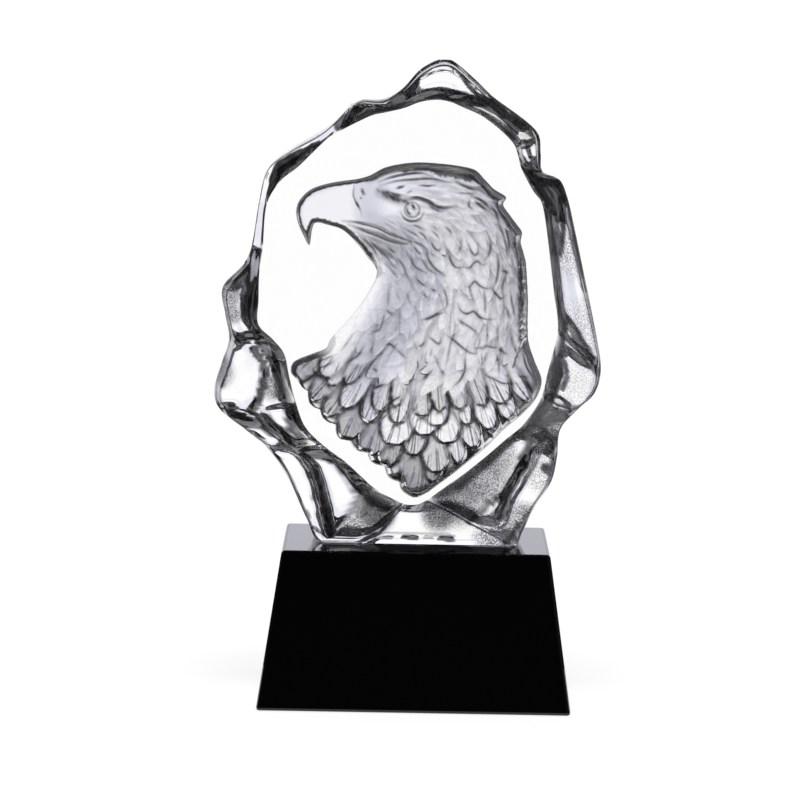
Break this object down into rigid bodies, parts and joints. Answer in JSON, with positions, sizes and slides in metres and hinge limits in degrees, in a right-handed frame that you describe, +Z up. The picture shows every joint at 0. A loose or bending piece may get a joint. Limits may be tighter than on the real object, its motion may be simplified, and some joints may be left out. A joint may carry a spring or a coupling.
{
  "type": "crystal eagle trophy",
  "caption": "Clear crystal block with a chiselled rim and an eagle's head carved into its back, standing on a sloping black glass base.",
  "frame": {"origin": "middle of the underside of the whole trophy, on the surface that it stands on", "axes": "+Z up; -Y is the polished front, where the eagle's beak points to -X"},
  "size_m": [0.1434, 0.0756, 0.2351],
  "materials": {
    "black_glass": "black glass, opaque, polished to a mirror",
    "crystal": "clear lead crystal, polished faces, chipped rim, frosted carving"
  },
  "bodies": {
    "root": {"base": "black_glass", "crystal": "crystal"}
  },
  "joints": []
}
